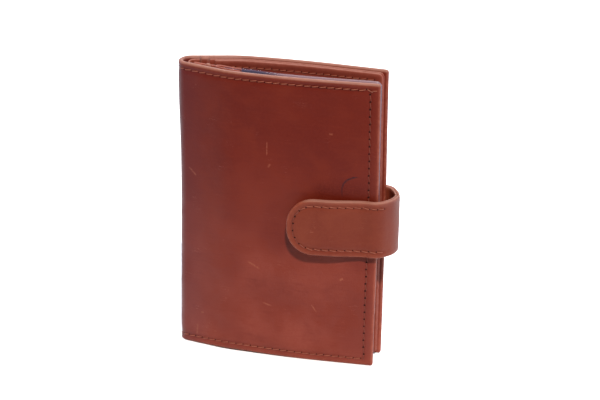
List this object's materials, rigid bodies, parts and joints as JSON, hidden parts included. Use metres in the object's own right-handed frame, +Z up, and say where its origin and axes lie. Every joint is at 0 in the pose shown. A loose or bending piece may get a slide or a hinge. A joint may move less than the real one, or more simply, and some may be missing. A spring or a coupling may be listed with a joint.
{
  "type": "trifold wallet",
  "caption": "Upright leather trifold wallet with card slots, an identity window, a clear middle leaf and a snap tab that wraps the free edges.",
  "frame": {"origin": "centre of the wallet's bounding box, on the surface it stands on", "axes": "+Z up along the wallet's height, +X from the spine to the free edges, -Y out of the front cover"},
  "size_m": [0.0943, 0.0283, 0.127],
  "materials": {
    "cover_leather": "waxed pull-up leather, satin, scuffed",
    "strap_leather": "waxed pull-up leather, satin",
    "inner_leather": "satin",
    "thread": "waxed thread, close in tone to the leather",
    "clear_film": "clear flexible vinyl",
    "lining_cloth": "dark woven lining",
    "snap_metal": "antiqued, satin"
  },
  "bodies": {
    "back_leaf": {"back_cover_leather": "cover_leather", "back_cover_thread": "thread", "back_note_divider": "inner_leather", "back_pocket_base": "inner_leather", "back_pocket_thread": "thread", "back_card_slot_1": "inner_leather", "back_card_slot_2": "inner_leather", "back_card_slot_3": "inner_leather", "spine_leather": "cover_leather", "spine_lining": "inner_leather", "spine_thread": "thread", "tab_anchor_leather": "strap_leather", "tab_anchor_lining": "strap_leather", "tab_anchor_thread": "thread"},
    "front_leaf": {"front_cover_leather": "cover_leather", "front_cover_thread": "thread", "front_note_divider": "inner_leather", "front_window_film": "clear_film", "front_window_frame": "inner_leather", "front_frame_thread": "thread", "snap_stud": "snap_metal", "snap_stud_washer": "snap_metal"},
    "middle_leaf": {"middle_hinge_strip": "inner_leather", "middle_front_film": "clear_film", "middle_core_cloth": "lining_cloth", "middle_back_film": "clear_film", "middle_thread": "thread"},
    "tab_loop": {"tab_loop_leather": "strap_leather", "tab_loop_lining": "strap_leather"},
    "tab_flap": {"tab_flap_leather": "strap_leather", "tab_flap_lining": "strap_leather", "tab_flap_thread": "thread", "snap_socket": "snap_metal", "snap_cap": "snap_metal"}
  },
  "joints": [
    {"name": "front_leaf_hinge", "type": "hinge", "parent": "back_leaf", "child": "front_leaf", "pos_m": [-0.0465, 0.00112, 0.0635], "axis": [0, 0, -1], "range_deg": [0, 180], "deforming": ["spine_leather", "spine_lining", "spine_thread", "tab_flap_leather", "tab_flap_lining", "tab_flap_thread", "snap_socket", "snap_cap"]},
    {"name": "middle_leaf_hinge", "type": "hinge", "parent": "back_leaf", "child": "middle_leaf", "pos_m": [-0.0465, 0.00112, 0.0635], "axis": [0, 0, -1], "range_deg": [0, 90]},
    {"name": "tab_loop_swing", "type": "hinge", "parent": "back_leaf", "child": "tab_loop", "pos_m": [0.04474, 0.01026, 0.0631], "axis": [0, 0, 1], "range_deg": [0, 90], "deforming": ["tab_loop_leather", "tab_loop_lining"]},
    {"name": "tab_flap_lift", "type": "hinge", "parent": "tab_loop", "child": "tab_flap", "pos_m": [0.04345, -0.00901, 0.0631], "axis": [0, 0, 1], "range_deg": [0, 90]}
  ],
  "couplings": [
    {"joint": "middle_leaf_hinge", "follows": "front_leaf_hinge", "ratio": 0.5}
  ]
}
